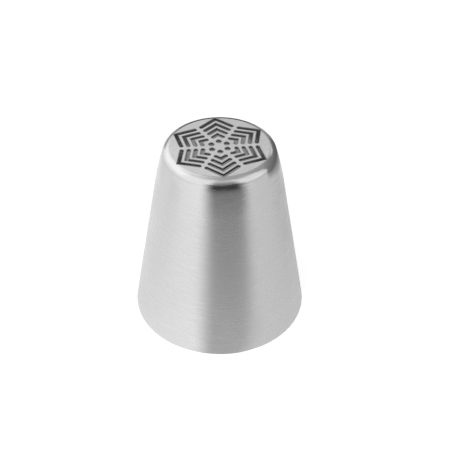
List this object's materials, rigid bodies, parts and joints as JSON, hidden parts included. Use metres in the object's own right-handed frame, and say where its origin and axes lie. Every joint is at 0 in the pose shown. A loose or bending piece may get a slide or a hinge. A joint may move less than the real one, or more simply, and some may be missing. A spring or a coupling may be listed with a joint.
{
  "type": "piping nozzle",
  "caption": "Conical stainless steel piping nozzle with a flat face pierced by a star of nested V-shaped slots and small holes.",
  "frame": {"origin": "centre of the plane of the wide rim, which the nozzle stands on", "axes": "+Z along the axis of the cone, from the wide mouth towards the pierced face; one arm of the star points 5.1 degrees past +Y, towards -X"},
  "size_m": [0.035, 0.035, 0.0385],
  "materials": {
    "brushed_sleeve": "brushed round the axis",
    "satin_cap": "fine satin with a rolled shoulder",
    "weld_metal": "ground flush"
  },
  "bodies": {
    "root": {"cone_sleeve": "brushed_sleeve", "slotted_cap": "satin_cap", "seam_weld": "weld_metal"}
  },
  "joints": []
}
